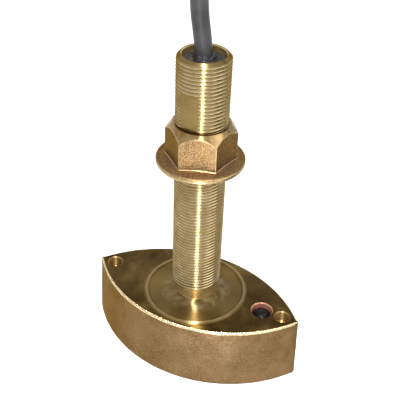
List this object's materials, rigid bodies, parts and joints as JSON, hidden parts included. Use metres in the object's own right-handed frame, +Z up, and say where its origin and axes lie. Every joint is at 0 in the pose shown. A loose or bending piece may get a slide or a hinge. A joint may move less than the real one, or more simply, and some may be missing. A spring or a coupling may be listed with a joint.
{
  "type": "sonar transducer",
  "caption": "Bronze through-hull sonar transducer: lens-shaped housing, long threaded stem with a flanged hull nut, and a coiled cable ending in a round connector.",
  "frame": {"origin": "centre of the housing's underside, which lies on the floor", "axes": "+X along the housing towards the tip with the resin port, +Z up the threaded stem"},
  "size_m": [0.2964, 0.12, 0.2524],
  "materials": {
    "housing_bronze": "as-cast sides, turned deck and stem, stained",
    "nut_bronze": "as-cast, machined top chamfer",
    "urethane": "satin black",
    "ceramic": "matte, silvered faces",
    "cork": "matte cork",
    "potting_resin": "gloss black resin",
    "lead_insulation": "satin",
    "sensor_bead": "gloss",
    "sensor_insulation": "satin",
    "cable_jacket": "satin black polyurethane",
    "strap": "woven black strap",
    "plug_rubber": "matte black",
    "plug_plastic": "satin black",
    "plug_insert": "satin dark grey",
    "pin_plating": "gold plated"
  },
  "bodies": {
    "transducer": {"housing": "housing_bronze", "acoustic_window": "urethane", "piezo_ceramic": "ceramic", "cork_ring": "cork", "backing_pad": "cork", "housing_potting": "potting_resin", "ceramic_lead_1": "lead_insulation", "ceramic_lead_2": "lead_insulation", "thermistor_bead": "sensor_bead", "thermistor_lead_1": "sensor_insulation", "thermistor_lead_2": "sensor_insulation", "stem_potting": "potting_resin", "port_resin": "potting_resin", "stem_cable": "cable_jacket", "free_cable": "cable_jacket", "cable_coil": "cable_jacket", "cable_tail": "cable_jacket", "coil_tie_1": "strap", "coil_tie_2": "strap", "coil_tie_3": "strap", "connector_boot": "plug_rubber", "connector_shell": "plug_plastic", "connector_ring": "plug_plastic", "connector_seal": "plug_rubber", "connector_insert": "plug_insert", "connector_pin_1": "pin_plating", "connector_pin_2": "pin_plating", "connector_pin_3": "pin_plating", "connector_pin_4": "pin_plating", "connector_pin_5": "pin_plating", "connector_pin_6": "pin_plating", "connector_pin_7": "pin_plating"},
    "nut": {"hull_nut": "nut_bronze"}
  },
  "joints": [
    {"name": "nut_travel", "type": "slide", "parent": "transducer", "child": "nut", "axis": [0, 0, 1], "range_m": [-0.07076, 0.03266]}
  ]
}
